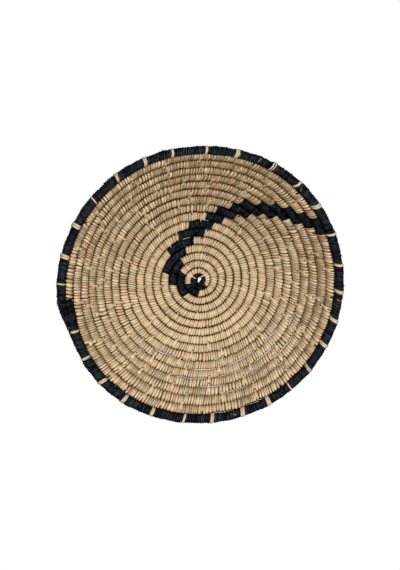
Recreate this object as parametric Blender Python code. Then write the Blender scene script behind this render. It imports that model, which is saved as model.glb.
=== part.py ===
"""Coiled fibre wall plate with a stepped black spiral and a black rim.

One bundle of grass, the core, is wound from the middle outwards into a shallow dish.
Strips of fibre are wrapped round it all the way: natural runs and black runs take turns,
and each change of colour is a piece that would come off the core by itself.
Metres, +Z up as the plate hangs, the front faces -Y and the wall is the plane Y = 0.
The origin is the middle hole at the wall. Turns count anticlockwise from +X, seen from the front.
"""
import math

import bmesh
import bpy
import numpy as np
from mathutils import Vector

# Winding of the coil along the dish, measured on the seam outside each row
FIRST_PITCH = 0.00795
PITCH_GROWTH = 0.000153
TURNS_TO_MIDDLE = 0.47
START_TURN = -0.25
RIM_START_DEG = 186.5
RIM_SWEEP_DEG = 371.0

# The first turn goes round an open middle and is swollen outwards by its tight bend
HOLE_RADIUS = 0.0021
START_SWELL = 0.0027
CLOSE_UP_TURNS = (0.45, 0.72)

# Hand-made irregularities: a fuller stretch low on the left, and a narrower rim row
BULGE = 0.0033
BULGE_ANGLE_DEG = 226.0
BULGE_SPREAD_DEG = 30.0
BULGE_GROWS_TURNS = (13.9, 15.2)
BULGE_FADES_TURNS = (16.75, 17.2)
RIM_NARROWING = 0.0013
RIM_NARROWS_TURNS = (16.4, 16.9)

# At the top the rim row leans in and forward over the row before it
LEAN_IN = 0.002
LEAN_FORWARD = 0.0025
LEAN_MIDDLE_TURN = 17.245
LEAN_SPREAD_TURNS = 0.07

# Dish: a flat base, one bend and a straight wall
FLAT_RADIUS = 0.0555
BEND_RADIUS = 0.097
WALL_ANGLE_DEG = 38.0

# Coil section, six-sided, with its points towards the neighbouring rows
BASE_HEIGHT = 0.007
HEIGHT_SHARE = 0.8
FLAT_SHARE = 0.65
TAPER_TURNS = 0.036
TIP_SHARE = 0.34

# On the wall each row leans out: lower on its inner side and higher on its outer side
WALL_ROWS_TURNS = (8.0, 11.0)
WALL_LOW_SHARE = 0.8
WALL_HIGH_SHARE = 1.05

# Wrapping strips and the clearances round them
WRAP_THICKNESS = 0.001
CORE_CLEARANCE = 0.0003
ROW_GAP = 0.0003
RUN_GAP = 0.0003

# Pale accent stitches over the rim, each a band a little proud of the black
ACCENT_RAISE = 0.0004
SEAM_RAISE_SHARE = 0.2
THIN_ACCENT_WIDTH = 0.0018
PLAIN_ACCENT_WIDTH = 0.0027
WIDE_ACCENT_WIDTH = 0.0038
DOUBLE_ACCENT_WIDTH = 0.0048
THIN_ACCENTS_DEG = (311.6, 501.5, 538.0)
PLAIN_ACCENTS_DEG = (199.0, 211.4, 263.0, 370.1, 383.6, 409.4, 450.6, 464.4)
WIDE_ACCENTS_DEG = (223.6, 235.6, 248.9, 275.1, 323.0, 335.0, 346.4, 358.8, 475.9, 488.6)
DOUBLE_ACCENTS_DEG = (288.6, 300.6, 397.2, 422.2, 437.9, 513.8, 526.9)

# Where the middle's black ends, and where each row's black run begins and ends
CENTRE_BLACK_END_DEG = 325.0
BLACK_RUNS_DEG = (
    (197.0, 269.0),
    (155.0, 228.0),
    (132.0, 190.0),
    (115.0, 168.0),
    (99.0, 138.0),
    (85.5, 116.0),
    (77.5, 102.0),
    (70.0, 85.5),
    (62.0, 78.0),
    (54.5, 69.0),
    (49.5, 64.5),
    (43.5, 55.0),
    (38.5, 49.5),
    (33.5, 44.0),
    (29.5, 38.0),
    (25.0, 33.0),
)

# Facets: a tight turn needs fewer than a wide one
TIGHT_TURNS = 2.0
TIGHT_STEPS = 12
WIDE_STEPS = 24
SECTION_SIDES = 6
SMOOTH_ANGLE_DEG = 40.0
GRID_SLACK = 1e-7
HALF_TURN = 0.5

# Colours, linear, and how matt each fibre is
NATURAL = (0.60, 0.42, 0.22, 1.0)
NATURAL_ROUGHNESS = 0.75
BLACK = (0.010, 0.012, 0.017, 1.0)
BLACK_ROUGHNESS = 0.55
GRASS = (0.48, 0.40, 0.22, 1.0)
GRASS_ROUGHNESS = 0.9

# Turn counts that follow: each black run ends a row, and the rim goes round once more
ROWS = len(BLACK_RUNS_DEG)
RIM_START_TURN = ROWS + RIM_START_DEG / 360.0
END_TURN = RIM_START_TURN + RIM_SWEEP_DEG / 360.0


def ease(value, limits):
    """Rises smoothly from 0 to 1 as value passes between the two limits."""
    low, high = limits
    share = min(1.0, max(0.0, (value - low) / (high - low)))
    return share * share * (3.0 - 2.0 * share)


def seam_arc(turn):
    """Way along the dish from the middle to the seam outside the coil at this turn."""
    wound = turn + TURNS_TO_MIDDLE
    arc = FIRST_PITCH * wound + PITCH_GROWTH * wound * wound / 2.0
    arc += START_SWELL * max(0.0, 1.0 - turn) ** 2
    off = (turn * 360.0 - BULGE_ANGLE_DEG + 180.0) % 360.0 - 180.0
    bulge = math.exp(-((off / BULGE_SPREAD_DEG) ** 2))
    bulge *= ease(turn, BULGE_GROWS_TURNS) * (1.0 - ease(turn, BULGE_FADES_TURNS))
    return arc + BULGE * bulge - RIM_NARROWING * ease(turn, RIM_NARROWS_TURNS)


def inner_arc(turn):
    """The seam inside the coil: the turn before, or the open middle under the first turn."""
    before = turn - 1.0
    if before >= START_TURN:
        return seam_arc(before)
    closed = ease(turn, CLOSE_UP_TURNS)
    return HOLE_RADIUS + closed * (seam_arc(START_TURN) - HOLE_RADIUS)


def dish_point(arc):
    """Radius and distance from the wall of a point of the dish's middle surface."""
    wall_angle = math.radians(WALL_ANGLE_DEG)
    bent = min(max(0.0, arc - FLAT_RADIUS) / BEND_RADIUS, wall_angle)
    straight = max(0.0, arc - FLAT_RADIUS - BEND_RADIUS * wall_angle)
    radius = min(arc, FLAT_RADIUS) + BEND_RADIUS * math.sin(bent) + straight * math.cos(wall_angle)
    rise = BEND_RADIUS * (1.0 - math.cos(bent)) + straight * math.sin(wall_angle)
    return radius, BASE_HEIGHT / 2.0 + rise


def lean_share(turn):
    """How much of its lean the rim has at this turn."""
    return math.exp(-(((turn - LEAN_MIDDLE_TURN) / LEAN_SPREAD_TURNS) ** 2))


def coil_section(turn):
    """Centre, direction across the coil, direction to the front, half width and half height."""
    inner_r, inner_y = dish_point(inner_arc(turn) + ROW_GAP / 2.0)
    outer_r, outer_y = dish_point(seam_arc(turn) - ROW_GAP / 2.0)
    radial = Vector((math.cos(turn * math.tau), 0.0, math.sin(turn * math.tau)))
    forward = Vector((0.0, -1.0, 0.0))
    lean = (forward * LEAN_FORWARD - radial * LEAN_IN) * lean_share(turn)
    inner = radial * inner_r + forward * inner_y + lean
    outer = radial * outer_r + forward * outer_y + lean
    across = (outer - inner).normalized()
    front = (forward * (outer_r - inner_r) - radial * (outer_y - inner_y)).normalized()
    half_width = (outer - inner).length / 2.0
    half_height = max(HEIGHT_SHARE * half_width, min(half_width, BASE_HEIGHT / 2.0))
    return (inner + outer) / 2.0, across, front, half_width, half_height


def grid_ring(turn, inset):
    """The section's six corners at a grid turn, inset from the wrapped surface."""
    centre, across, front, half_width, half_height = coil_section(turn)
    leaning = ease(turn, WALL_ROWS_TURNS)
    low = half_height * (1.0 - (1.0 - WALL_LOW_SHARE) * leaning)
    high = half_height * (1.0 - (1.0 - WALL_HIGH_SHARE) * leaning)
    share = (low - inset) / low
    wide, flat = half_width * share, half_width * FLAT_SHARE * share
    low, high = low * share, high * share
    corners = ((-wide, 0.0), (-flat, -low), (flat, -high), (wide, 0.0), (flat, high), (-flat, low))
    return [centre + across * x + front * y for x, y in corners]


def grid_around(turn):
    """The two grid turns that hold this turn between them."""
    steps = TIGHT_STEPS if turn < TIGHT_TURNS else WIDE_STEPS
    low = math.floor(turn * steps + GRID_SLACK) / steps
    return low, low + 1.0 / steps


def ring(turn, inset=0.0):
    """Six corners at any turn. Between grid turns they lie on the straight facets."""
    low, high = grid_around(turn)
    share = (turn - low) / (high - low)
    before, after = grid_ring(low, inset), grid_ring(high, inset)
    corners = [a.lerp(b, share) for a, b in zip(before, after)]
    taper = 1.0 - (1.0 - TIP_SHARE) * ease(turn, (END_TURN - TAPER_TURNS, END_TURN))
    seam = ring_seam(before, after, share, inset)
    return [seam + (corner - seam) * taper for corner in corners]


def ring_seam(before, after, share, inset):
    """The point on the inner seam towards which the coil's end tapers."""
    inward = before[0].lerp(after[0], share)
    middle = sum((a.lerp(b, share) for a, b in zip(before, after)), Vector()) / SECTION_SIDES
    return inward + (inward - middle).normalized() * inset


def radius_at(turn):
    """Distance of the coil's middle from the plate's axis."""
    return dish_point((inner_arc(turn) + seam_arc(turn)) / 2.0)[0]


def turns_for(length, turn):
    """How much of a turn a length along the coil takes there."""
    return length / (math.tau * radius_at(turn))


def stations(first, last):
    """Both ends and every grid turn between them."""
    spare = turns_for(RUN_GAP, last)
    found = [first]
    turn = grid_around(first)[1]
    while turn < last - spare:
        if turn > first + spare:
            found.append(turn)
        turn = grid_around(turn + GRID_SLACK)[1]
    found.append(last)
    return found


def skin(bm, rings, pale=()):
    """Joins each ring to the next. Stretches numbered in pale take the second material."""
    loops = [[bm.verts.new(corner) for corner in corners] for corners in rings]
    for stretch, (near, far) in enumerate(zip(loops, loops[1:])):
        for i in range(SECTION_SIDES):
            j = (i + 1) % SECTION_SIDES
            face = bm.faces.new((near[i], near[j], far[j], far[i]))
            face.material_index = int(stretch in pale)
    return loops


def close_end(bm, outer, inner, closed):
    """Ends a sleeve: with the strips' edge round the core, or with a closed tip over it."""
    if closed:
        bm.faces.new(outer)
        bm.faces.new(inner)
        return
    for i in range(SECTION_SIDES):
        j = (i + 1) % SECTION_SIDES
        bm.faces.new((outer[i], outer[j], inner[j], inner[i]))


def finish_mesh(bm, name, materials):
    """Turns a bmesh into a named object with its faces pointing out."""
    bmesh.ops.recalc_face_normals(bm, faces=bm.faces)
    mesh = bpy.data.meshes.new(name)
    bm.to_mesh(mesh)
    bm.free()
    for material in materials:
        mesh.materials.append(material)
    mesh.shade_smooth()
    mesh.set_sharp_from_angle(angle=math.radians(SMOOTH_ANGLE_DEG))
    made = bpy.data.objects.new(name, mesh)
    bpy.context.scene.collection.objects.link(made)
    return made


def wrap(name, first, last, materials, rings=None, pale=(), closed_start=False, closed_end=False):
    """A sleeve of wrapped strips over the core between two turns."""
    bm = bmesh.new()
    outer = skin(bm, rings or [ring(turn) for turn in stations(first, last)], pale)
    inner_first = first + turns_for(WRAP_THICKNESS, first) * closed_start
    inner_last = last - turns_for(WRAP_THICKNESS, last) * closed_end
    inner = skin(bm, [ring(turn, WRAP_THICKNESS) for turn in stations(inner_first, inner_last)])
    close_end(bm, outer[0], inner[0], closed_start)
    close_end(bm, outer[-1], inner[-1], closed_end)
    return finish_mesh(bm, name, materials)


def core_coil(material):
    """The bundle of grass: one unbroken tube from the middle to where the rim thins out."""
    inset = WRAP_THICKNESS + CORE_CLEARANCE
    first = START_TURN + turns_for(inset, START_TURN)
    last = grid_around(END_TURN - TAPER_TURNS)[0]
    turns = stations(first, last)
    rings = [ring(turn, inset) for turn in turns]
    bm = bmesh.new()
    loops = skin(bm, rings)
    bm.faces.new(loops[0])
    bm.faces.new(loops[-1])
    print_least_gap(turns, rings)
    return finish_mesh(bm, "core_coil", [material])


def print_least_gap(turns, rings):
    """Measures how near the core's loops come to each other, corner to corner."""
    points = np.array([corner for corners in rings for corner in corners])
    place = np.repeat(np.array(turns), SECTION_SIDES)
    least = math.inf
    for point, turn in zip(points, place):
        others = points[place > turn + HALF_TURN]
        if len(others):
            least = min(least, float(np.linalg.norm(others - point, axis=1).min()))
    print(f"core_coil least gap to itself: {least * 1000.0:.2f} mm")


def accent_bands(first, last):
    """First and last turn of each accent stitch that the rim is long enough for."""
    accents = [(THIN_ACCENT_WIDTH, angle) for angle in THIN_ACCENTS_DEG]
    accents += [(PLAIN_ACCENT_WIDTH, angle) for angle in PLAIN_ACCENTS_DEG]
    accents += [(WIDE_ACCENT_WIDTH, angle) for angle in WIDE_ACCENTS_DEG]
    accents += [(DOUBLE_ACCENT_WIDTH, angle) for angle in DOUBLE_ACCENTS_DEG]
    bands = []
    for width, angle in accents:
        turn = ROWS + angle / 360.0
        half = turns_for(width, turn) / 2.0
        if first + half < turn - half and turn + half < last - half:
            bands.append((turn - half, turn + half))
    return bands


def proud_ring(turn):
    """The rim's section over an accent, raised less where it lies against the next row."""
    corners = ring(turn)
    middle = sum(corners, Vector()) / SECTION_SIDES
    lifts = [SEAM_RAISE_SHARE] + [1.0] * (SECTION_SIDES - 1)
    return [c + (c - middle).normalized() * ACCENT_RAISE * lift for c, lift in zip(corners, lifts)]


def rim_rings(first, last):
    """The rim's outer rings, stepped at each side of an accent, and the pale stretches."""
    bands = accent_bands(first, last)
    sides = [side for band in bands for side in band]
    steps = []
    for turn in stations(first, last):
        clear = turns_for(RUN_GAP, turn)
        if all(abs(turn - side) > clear for side in sides):
            steps.append((turn, 0, any(low < turn < high for low, high in bands)))
    for low, high in bands:
        steps += [(low, 0, False), (low, 1, True), (high, 0, True), (high, 1, False)]
    steps.sort()
    proud = [raised for _, _, raised in steps]
    rings = [proud_ring(turn) if raised else ring(turn) for turn, _, raised in steps]
    pale = {i for i, pair in enumerate(zip(proud, proud[1:])) if any(pair)}
    return rings, pale


def fibre(name, colour, roughness):
    """A dry plant fibre finish."""
    material = bpy.data.materials.new(name)
    material.use_nodes = True
    shader = material.node_tree.nodes["Principled BSDF"]
    shader.inputs["Base Color"].default_value = colour
    shader.inputs["Roughness"].default_value = roughness
    shader.inputs["Metallic"].default_value = 0.0
    material.diffuse_color = colour
    return material


def wound_runs():
    """Name, first turn and last turn of each wrapped run between the middle and the rim."""
    edge = CENTRE_BLACK_END_DEG / 360.0
    for row, (first_deg, last_deg) in enumerate(BLACK_RUNS_DEG, start=1):
        first, last = row + first_deg / 360.0, row + last_deg / 360.0
        yield f"natural_wrap_{row:02d}", edge, first
        yield f"black_wrap_{row:02d}", first, last
        edge = last
    yield f"natural_wrap_{ROWS + 1:02d}", edge, RIM_START_TURN


def parted(turn, side):
    """A run's end, half a gap away from where it meets the next run."""
    return turn + side * turns_for(RUN_GAP, turn) / 2.0


def build():
    for old in list(bpy.data.objects):
        bpy.data.objects.remove(old)
    natural = fibre("natural_fibre", NATURAL, NATURAL_ROUGHNESS)
    black = fibre("black_fibre", BLACK, BLACK_ROUGHNESS)
    grass = fibre("core_grass", GRASS, GRASS_ROUGHNESS)

    pieces = [core_coil(grass)]
    centre_end = parted(CENTRE_BLACK_END_DEG / 360.0, -1)
    pieces.append(wrap("centre_black_wrap", START_TURN, centre_end, [black], closed_start=True))
    for name, first, last in wound_runs():
        shade = black if name.startswith("black") else natural
        pieces.append(wrap(name, parted(first, 1), parted(last, -1), [shade]))
    rim_start = parted(RIM_START_TURN, 1)
    rings, pale = rim_rings(rim_start, END_TURN)
    rim_finish = [black, natural]
    rim = wrap("rim_black_wrap", rim_start, END_TURN, rim_finish, rings, pale, closed_end=True)
    pieces.append(rim)

    plate = bpy.data.objects.new("wall_plate", None)
    bpy.context.scene.collection.objects.link(plate)
    for piece in pieces:
        piece.parent = plate


build()
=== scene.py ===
"""Looks of the coiled fibre wall plate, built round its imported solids.

Every run of wrapping is remade strip by strip over the winding that the part's source has.
The joining stitches and the rim's pale accents are pieces of their own.
Metres, degrees and turns. Turns count anticlockwise from +X, seen from the front.
"""

import math

import bpy
import numpy as np
from mathutils import Matrix, Vector


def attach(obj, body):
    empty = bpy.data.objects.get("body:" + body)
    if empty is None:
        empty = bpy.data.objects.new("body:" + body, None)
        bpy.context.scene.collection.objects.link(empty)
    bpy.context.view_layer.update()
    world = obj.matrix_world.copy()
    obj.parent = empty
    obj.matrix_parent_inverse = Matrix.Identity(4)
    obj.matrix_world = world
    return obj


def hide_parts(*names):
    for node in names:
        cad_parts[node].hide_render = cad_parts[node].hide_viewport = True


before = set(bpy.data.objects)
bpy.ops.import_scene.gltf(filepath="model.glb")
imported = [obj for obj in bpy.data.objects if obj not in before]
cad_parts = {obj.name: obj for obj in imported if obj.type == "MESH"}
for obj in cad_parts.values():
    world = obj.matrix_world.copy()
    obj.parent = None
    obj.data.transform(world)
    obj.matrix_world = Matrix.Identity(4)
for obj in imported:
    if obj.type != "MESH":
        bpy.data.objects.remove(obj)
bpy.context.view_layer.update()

BODY = "root"
TAU = math.tau
CIRCLE_DEG = 360.0
MM = 1000.0

# What each point of a piece tells its finish: its tone and warmth, the shade painted in its clefts and
# seams, and how faded it is
VALUES = ("tone", "warm", "cleft", "seam", "faded")

# Winding of the coil along the dish, measured on the seam outside each row
FIRST_PITCH = 0.00795
PITCH_GROWTH = 0.000153
TURNS_TO_MIDDLE = 0.47
START_TURN = -0.25
HOLE_RADIUS = 0.0021
START_SWELL = 0.0027
CLOSE_UP_TURNS = (0.45, 0.72)
HOLE_ASIDE = (0.0005, 0.0012)
HOLE_ASIDE_TURNS = (-0.75, 0.25)

# Hand-made irregularities of the winding
BULGE = 0.0033
BULGE_ANGLE_DEG = 226.0
BULGE_SPREAD_DEG = 30.0
BULGE_GROWS_TURNS = (13.9, 15.2)
BULGE_FADES_TURNS = (16.75, 17.2)
RIM_NARROWING = 0.0013
RIM_NARROWS_TURNS = (16.4, 16.9)
SEAM_WANDER = 0.00018
WANDER_WAVES = ((17.3, 0.0), (29.9, 1.0), (46.7, 2.0))
WANDER_GROWS_TURNS = (3.0, 9.0)
LEAN_IN = 0.002
LEAN_FORWARD = 0.0025
LEAN_MIDDLE_TURN = 17.245
LEAN_SPREAD_TURNS = 0.07

# Dish: a flat base, one bend and a straight wall
FLAT_RADIUS = 0.0555
BEND_RADIUS = 0.097
WALL_ANGLE = math.radians(38.0)

# Coil section: rounded, and flatter on its inner side on the wall. Places across it run from -1 to 1
ROW_ACROSS = 2.0
BASE_HEIGHT = 0.007
HEIGHT_SHARE = 0.8
RUN_GAP = 0.0003
TAPER_TURNS = 0.036
TIP_SHARE = 0.34
SQUARENESS = 2.6
OUTER_SQUARENESS = 2.1
OUTER_SKEW = 0.28
OUTER_SECTION_TURNS = (8.0, 11.0)
SIDES = 24
AXIS_DECIMALS = 9

# Girth of the section, as a share of its width times TAU, which spaces the grain round it
GIRTH_SHARE = 0.45

# Where the colours change, in degrees past each row's +X crossing
CENTRE_BLACK_END_DEG = 325.0
BLACK_RUNS_DEG = (
    (197.0, 269.0),
    (155.0, 228.0),
    (132.0, 190.0),
    (115.0, 168.0),
    (99.0, 138.0),
    (85.5, 116.0),
    (77.5, 102.0),
    (70.0, 85.5),
    (62.0, 78.0),
    (54.5, 69.0),
    (49.5, 64.5),
    (43.5, 55.0),
    (38.5, 49.5),
    (33.5, 44.0),
    (29.5, 38.0),
    (25.0, 33.0),
)
RIM_START_DEG = 186.5
RIM_SWEEP_DEG = 371.0
ROWS = len(BLACK_RUNS_DEG)
RIM_START_TURN = ROWS + RIM_START_DEG / CIRCLE_DEG
END_TURN = RIM_START_TURN + RIM_SWEEP_DEG / CIRCLE_DEG
LENGTH_STEPS = 20001

# Seams that stand a little open: row, and the degrees between which light comes through
OPEN_SEAMS = (
    (5, 99, 117), (7, 80, 90), (7, 92, 105), (8, 61, 68), (8, 110, 132), (8, 316, 324),
    (9, 83, 91), (9, 91, 102), (9, 234, 257), (9, 260, 266), (9, 281, 287),
    (10, 227, 234), (10, 264, 284), (10, 286, 311), (10, 316, 330),
    (11, 254, 276), (11, 280, 300), (11, 303, 321), (11, 333, 343),
    (12, 268, 287), (12, 296, 311), (12, 312, 334),
    (13, 265, 274), (13, 280, 299), (13, 307, 320), (13, 325, 333), (13, 338, 344),
    (15, 226, 233), (15, 272, 286), (15, 290, 300),
)
OPEN_SEAM = 0.00085
OPEN_SQUARENESS = 4
# Painted light: the seam shade is lighter by this share where a seam stands open and light comes
# through
OPEN_LIGHT = 0.6
PRESS = 0.00015

# Wrapping strips: how wide and uneven they are, and the clefts between them, with the shade painted in
# the clefts and at the runs' ends
STRIP_SEED = 3
STRIP_WIDTH = 0.0023
LOOSE_STRIP = 0.0009
BLACK_STRIP = 0.75
STRIP_UNEVEN = 0.2
NARROWEST_SHARE = 0.5
LEFT_OVER_SHARE = 0.45
CLEFT_UNEVEN = (0.6, 1.4)
CLEFT_DEPTH = 0.00016
LOOSE_CLEFT = 0.00075
CLEFT_SHARE = 0.24
CLEFT_FOOT = 0.3
PACKED_CLEFT_SHADE = 0.9
STRIP_RISE = 0.0001
END_ROUNDING = 0.0006
PAINTED_END_SHADE = 0.9
CLEFT_IN_SEAM = 1.6
CLEFT_IN_MIDDLE = (0.75, 0.95)
CLEFT_BAND = (0.5, 1.0)
RIM_UNEVEN = 2.0
RIM_LOOSE = 0.5

# How the strips slant across the coil, and where they stand loose
LEAN_BACK = 0.19
SLANT = 0.12
SLANT_REACH, SLANT_SEED = 0.03, 5
TIGHT_ROWS = 8.6
LOOSENS_OVER_TURNS = 0.6
LOOSE_REACH, LOOSE_SEED = 0.013, 11
LOOSE_LIMITS = (0.4, 0.75)
LOOSER_ON_WALL = 0.05
LOOSE_ON_BASE = 0.45
LOOSENED_TURNS = (6.0, 10.0)

# Seams between the rows: how deep they are, and how dark and wide the shade painted in them is
SEAM_INSET_SHARE = 0.3
SEAM_INSET_REACH = 1.4
SEAM_WOBBLE = 2.5
MOST_WOBBLE = 0.0003
SEAM_SHADE = (0.75, 1.5)
SHADE_REACH, SHADE_SEED = 0.016, 9
FAINT_SEAMS_DEG = 306.0
FAINT_SEAMS = 0.36
FAINT_OUTER_SEAMS = 0.1
FAINT_OUTER_TURNS = (12.0, 13.5)
SEAM_BAND = (0.3, 0.93)
SEAM_NARROWS = 0.25
SEAM_NARROWS_TURNS = (8.0, 14.0)
SCALLOP = 0.16
NARROW_OUTSIDE = (0.08, 0.07)
RIM_SHADOW_AND_DYE = 2.0
UNDER_RIM_TURNS = (RIM_START_TURN - 1.02, RIM_START_TURN - 0.98)
OUTERMOST_TURNS = (END_TURN - 1.0, END_TURN - 0.98)

# How light and worn the strips are, with painted light and shade: a lit side of the plate, a shaded
# patch, lit outer sides of the rows, a sheen on the crowns of the black strips and a highlight on each
# run's last strip
TONE_SPREAD = 0.07
TIGHT_SPREAD = 0.7
LOOSE_LIGHT = 0.15
WORN_SPREAD = 1.0
WORN_DARK = 0.105
WORN_TURNS = ((8.3, 9.3), (12.0, 14.0))
PAINTED_OUTSIDE_LIGHT = (0.17, 0.09)
LIT_SIDE_DEG = 268.0
PAINTED_SIDE_LIGHT = (0.03, 0.12)
PAINTED_SIDE_LIGHT_TURNS = (3.0, 8.0)
SHADED_SIDE_DEG = 68.0
SHADED_SPREAD_DEG = 38.0
PAINTED_SHADE_PATCH = 0.1
SHADED_TURNS = (7.0, 9.5)
RIM_LIGHT = 0.175
RIM_SPREAD = 1.8
PAINTED_CROWN_SHEEN = 0.13
PAINTED_RIM_SHEEN = 0.16
CROWN_LEAN = (0.5, 1.0)
CROWN_SHARPNESS = 8
PAINTED_END_HIGHLIGHT = 1.3

# Grass core inside the wrapping
CORE_INSET = 0.0013
CORE_STEP = 0.005
CORE_SIDES = 12
CORE_SIDE_MM = 1.8

# Flat strips that follow a way of their own
RIBBON_SIDES = 8
RIBBON_SIDE_MM = 0.3
RIBBON_UNEVEN = (0.8, 1.2)

# Joining stitches, as row and degrees: each comes off its row and bites into the row before it
STITCHES_DEG = (
    (5, (189, 240, 294, 351)),
    (6, (45, 131, 182, 230, 282, 323)),
    (7, (10, 221, 259, 296, 334)),
    (8, (53, 91, 132, 170, 222, 251, 280, 311, 351)),
    (9, (25, 57, 98, 132, 165, 199, 232, 266, 289, 323)),
    (10, (35, 86, 107, 133, 165, 227, 258, 288, 320, 350)),
    (11, (72, 99, 130, 151, 240, 263, 284, 312, 339)),
    (12, (89, 110, 155, 179, 253, 277, 302, 321, 348)),
    (13, (86, 117, 144, 166, 197)),
    (14, (109, 152, 172, 191, 246, 264, 282, 299, 319, 336, 354)),
    (15, (17, 35, 60, 124, 148, 208, 226)),
    (16, (62, 125, 146, 163)),
)
RIM_STITCHES_DEG = (47, 70, 151, 176, 207, 224, 234, 252, 271, 309, 333, 356)
FIRST_STITCH_TURN = 1.2
LAST_STITCH_TURN = RIM_START_TURN - 0.02
STITCH_SPACING = 0.041
STITCH_SEED = 21
STITCH_WIDTH = (0.002, 0.0042)
STITCH_WIDENS_TURNS = (6.0, 11.0)
RIM_STITCH_WIDTH = 0.0026
FIRST_SEEN_STITCH = 4.4
STITCH_THICKNESS = 0.0008
# Painted shade along the stitches' edges
PAINTED_STITCH_EDGE_SHADE = 0.3
STITCH_EDGE_SHARPNESS = 4
STITCH_LEAN = 0.0005
STITCH_LIGHT = 0.08
BITE_DEPTH = 0.0013
BITE_WIDTH = 0.001
BITE_STATIONS = (-1.5, -0.6, 0.0, 0.6, 1.5)
BITE_PLACE = 0.6
BITE_REACH = 0.16
# Painted shade in the pit round each bite
BITE_SHADE = 1.7
BITE_SPOT_DECIMALS = 6

# The way of a stitch: rows back, place across the coil, height over it and share of its width
JOINING_WAY = (
    (0, 0.35, -0.0006, 0.7), (0, 0.2, 0.0, 0.95), (0, -0.1, 0.0001, 1.0),
    (0, -0.4, 0.0001, 0.85), (0, -0.65, 0.0002, 0.65), (0, -0.85, 0.0002, 0.48),
    (1, 0.82, 0.0001, 0.38), (1, 0.66, -0.001, 0.3),
)
RIM_WAY = (
    (0, -0.2, -0.0006, 0.9), (0, -0.45, 0.0001, 1.0), (0, -0.7, 0.0003, 1.0),
    (0, -0.88, 0.0003, 0.8), (1, 0.86, 0.0003, 0.7), (1, 0.74, 0.0002, 0.55),
    (1, 0.64, -0.0002, 0.45), (1, 0.58, -0.0011, 0.35),
)

# Pale accent stitches over the rim
THIN_ACCENT_WIDTH = 0.0018
PLAIN_ACCENT_WIDTH = 0.0027
WIDE_ACCENT_WIDTH = 0.0038
DOUBLE_ACCENT_WIDTH = 0.0048
THIN_ACCENTS_DEG = (311.6, 501.5, 538.0)
PLAIN_ACCENTS_DEG = (199.0, 211.4, 263.0, 370.1, 383.6, 409.4, 450.6, 464.4)
WIDE_ACCENTS_DEG = (223.6, 235.6, 248.9, 275.1, 323.0, 335.0, 346.4, 358.8, 475.9, 488.6)
DOUBLE_ACCENTS_DEG = (288.6, 300.6, 397.2, 422.2, 437.9, 513.8, 526.9)
ACCENT_SEED = 8
ACCENT_RAISE = 0.0004
ACCENT_LIGHT = 0.17
ACCENT_SPREAD = 0.5
ACCENT_LOOSE = 0.5
# Painted shade at the accents' ends and in their clefts
ACCENT_ENDS = 0.3
ACCENT_CLEFT = 0.45

# Strips that bind the coil's end, and their way: rows back, place across the coil, height over it
LASHING_SEED = 33
LASHED_LENGTH = 0.033
LASHING_STEP = 0.0022
LASHING_WIDTH = 0.0021
LASHING_SPREAD = 0.12
LASHING_WAY = (
    (0, 0.8, -0.0004), (0, 0.4, 0.0003), (0, -0.3, 0.0004), (1, 0.5, 0.0004), (1, 0.0, 0.0004),
    (1, -0.7, -0.0004),
)

# Strips tied across the middle: their way across and up, width, and whether black
TIE_FRONT = 0.0066
TIE_THICKNESS = 0.0009
TIE_WARMTH = 0.3
NO_LENGTH = 1e-9
CENTRE_TIES = (
    (((-0.0056, -0.0016), (-0.0005, -0.0031), (0.0046, -0.0042)), 0.0026, True),
    (((-0.0021, 0.0042), (-0.0026, 0.0012), (-0.0026, -0.0022)), 0.0024, True),
    (((-0.0073, 0.0034), (-0.0083, 0.0), (-0.0079, -0.0032), (-0.0061, -0.0057)), 0.0026, True),
    (((0.0062, 0.0066), (0.0042, 0.0054), (0.0017, 0.0041)), 0.0012, False),
    (((-0.0104, 0.0062), (-0.0075, 0.0044), (-0.0042, 0.0024)), 0.0012, False),
)

# Loose strands on the rim: row, degrees, place across the coil at both ends, and length along it
STRAYS = (
    (16, 284.2, 0.1, 0.6, 0.003), (17, 76.5, 0.9, 0.1, 0.0012), (17, 68.9, 0.2, 0.95, -0.002),
    (17, 46.3, -0.3, 0.5, 0.002), (16, 355.5, 0.2, 0.9, -0.0015), (16, 188.6, 0.2, 0.9, 0.004),
    (17, 196.0, -0.3, 0.6, 0.003),
)
STRAY_WIDTH = 0.0006
STRAY_LIFT = 0.0002
STRAY_STEPS = 5
STRAY_LOOK = {"tone": -0.32, "warm": 0.2}

# Camera, fitted to the row lines of the photograph
FRAME_WIDE, FRAME_TALL = 400, 570
PIXEL = 0.001074
VIEW_PIXELS = 1333.0
VIEW_RISE = math.radians(11.52)
VIEW_TURN = math.radians(6.78)
MIDDLE_PIXEL = (198.92, 280.11)
SENSOR_WIDTH = 36.0

# Studio: each lamp's place, size and power, and a floor that shows almost white to the camera
WORLD_LIGHT = 0.06
LAMPS = {
    "front_light": ((0.06, -2.12, 0.57), 0.7, 47.0),
    "side_light": ((0.93, -1.99, 0.0), 0.9, 8.0),
    "back_light": ((-0.5, 2.1, 0.7), 1.2, 36.0),
}
WHITE = (1.0, 1.0, 1.0, 1.0)
FLOOR_COLOUR = (0.85, 0.85, 0.84, 1.0)
FLOOR_DROP = 0.62
FLOOR_HALF = 0.6
FLOOR_GLOW = 0.6

# Colours, linear: darkest, lightest, and the one to which any tone past the lightest falls back
STRAW = ((0.0, (0.16, 0.088, 0.036)), (1.0, (0.95, 0.74, 0.48)), (1.0, (0.79, 0.57, 0.34)))
PALE_STRAW = ((0.0, (0.2, 0.14, 0.08)), (1.0, (0.8, 0.65, 0.48)), (1.0, (0.68, 0.54, 0.385)))
DYED = ((0.0, (0.0005, 0.0006, 0.0009)), (1.0, (0.06, 0.072, 0.088)), (1.0, (0.016, 0.021, 0.03)))
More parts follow.
